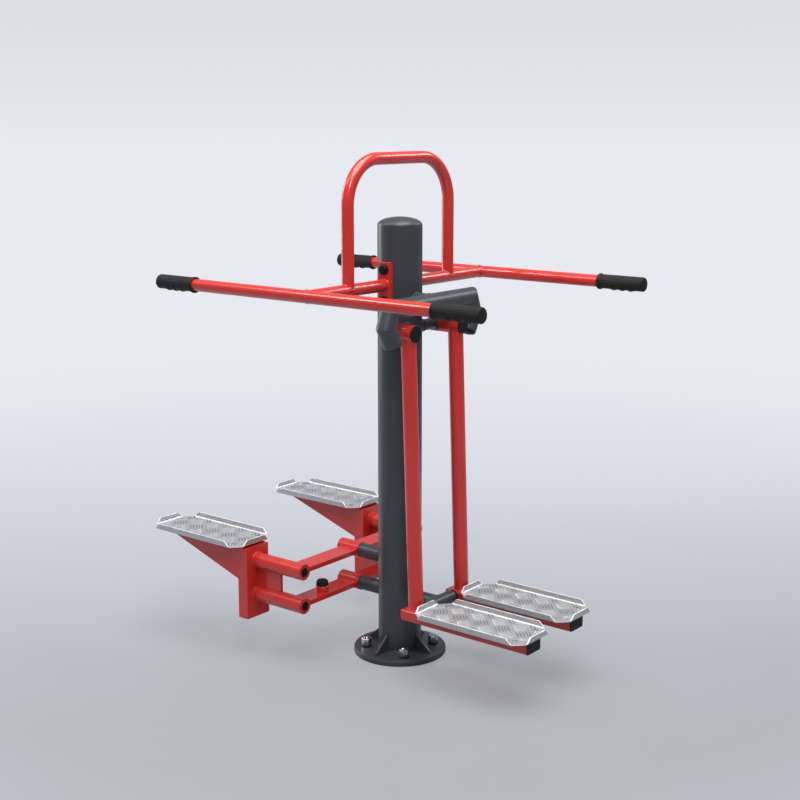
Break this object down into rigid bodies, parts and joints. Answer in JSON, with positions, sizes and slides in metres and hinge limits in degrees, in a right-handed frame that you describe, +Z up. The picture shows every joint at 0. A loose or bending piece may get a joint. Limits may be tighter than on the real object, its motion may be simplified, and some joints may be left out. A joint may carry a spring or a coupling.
{
  "type": "outdoor_gym_station",
  "caption": "outdoor gym station on one grey post, with red swinging abductor legs on one side and a linked stepper on the other, tread foot plates and gripped handles",
  "frame": {"origin": "centre of the base plate's underside", "axes": "+X from the post towards the abductor's foot plates, +Y to the left side, +Z up"},
  "size_m": [1.3993, 0.914, 1.615],
  "materials": {
    "grey_powder_coat": "satin",
    "red_powder_coat": "satin",
    "black_plastic": "satin",
    "bush_plastic": "matte",
    "black_rubber": "matte",
    "bright_steel": "satin",
    "tread_aluminium": "satin"
  },
  "bodies": {
    "base": {"base_plate": "grey_powder_coat", "base_gussets": "grey_powder_coat", "post": "grey_powder_coat", "post_cap": "grey_powder_coat", "left_saddle": "red_powder_coat", "right_saddle": "red_powder_coat", "clamp_rods": "bright_steel", "clamp_caps": "black_plastic", "left_cross_tube": "red_powder_coat", "right_cross_tube": "red_powder_coat", "left_handle_tube": "red_powder_coat", "right_handle_tube": "red_powder_coat", "hoop": "red_powder_coat", "left_front_grip": "black_rubber", "left_rear_grip": "black_rubber", "right_front_grip": "black_rubber", "right_rear_grip": "black_rubber", "stop_arch": "grey_powder_coat", "stop_plugs": "black_rubber", "left_axle_carrier": "grey_powder_coat", "right_axle_carrier": "grey_powder_coat", "leg_shafts": "bright_steel", "bumper_frame": "grey_powder_coat", "bumper_ends": "black_rubber", "upper_axle": "grey_powder_coat", "lower_axle": "grey_powder_coat", "rocker_shafts": "bright_steel"},
    "left_leg_body": {"left_leg": "red_powder_coat", "left_leg_bushes": "bush_plastic", "left_hub_cap": "black_plastic", "left_pedal_tube": "red_powder_coat", "left_pedal_plugs": "black_plastic", "left_swing_plate": "tread_aluminium"},
    "right_leg_body": {"right_leg": "red_powder_coat", "right_leg_bushes": "bush_plastic", "right_hub_cap": "black_plastic", "right_pedal_tube": "red_powder_coat", "right_pedal_plugs": "black_plastic", "right_swing_plate": "tread_aluminium"},
    "upper_rocker_body": {"upper_rocker": "red_powder_coat", "upper_rocker_bushes": "bush_plastic", "upper_rocker_caps": "black_plastic"},
    "lower_rocker_body": {"lower_rocker": "red_powder_coat", "lower_rocker_bushes": "bush_plastic", "lower_rocker_caps": "black_plastic", "stop_cups": "red_powder_coat", "stop_domes": "black_rubber"},
    "left_step_body": {"left_bracket": "red_powder_coat", "left_pivot_pins": "bright_steel", "left_step_plate": "tread_aluminium"},
    "right_step_body": {"right_bracket": "red_powder_coat", "right_pivot_pins": "bright_steel", "right_step_plate": "tread_aluminium"}
  },
  "joints": [
    {"name": "left_leg_swing", "type": "hinge", "parent": "base", "child": "left_leg_body", "pos_m": [0.1, 0.12, 1.079], "axis": [1, 0, 0], "range_deg": [0, 35]},
    {"name": "right_leg_swing", "type": "hinge", "parent": "base", "child": "right_leg_body", "pos_m": [0.1, -0.12, 1.079], "axis": [-1, 0, 0], "range_deg": [0, 35]},
    {"name": "upper_rocker_tilt", "type": "hinge", "parent": "base", "child": "upper_rocker_body", "pos_m": [-0.2, 0, 0.31], "axis": [1, 0, 0], "range_deg": [-20, 20]},
    {"name": "lower_rocker_tilt", "type": "hinge", "parent": "base", "child": "lower_rocker_body", "pos_m": [-0.2, 0, 0.198], "axis": [1, 0, 0], "range_deg": [-20, 20]},
    {"name": "left_step_pivot", "type": "hinge", "parent": "upper_rocker_body", "child": "left_step_body", "pos_m": [-0.2, 0.291, 0.31], "axis": [1, 0, 0], "range_deg": [-20, 20]},
    {"name": "right_step_pivot", "type": "hinge", "parent": "upper_rocker_body", "child": "right_step_body", "pos_m": [-0.2, -0.291, 0.31], "axis": [1, 0, 0], "range_deg": [-20, 20]}
  ],
  "couplings": [
    {"joint": "lower_rocker_tilt", "follows": "upper_rocker_tilt", "ratio": 1},
    {"joint": "left_step_pivot", "follows": "upper_rocker_tilt", "ratio": -1},
    {"joint": "right_step_pivot", "follows": "upper_rocker_tilt", "ratio": -1}
  ]
}
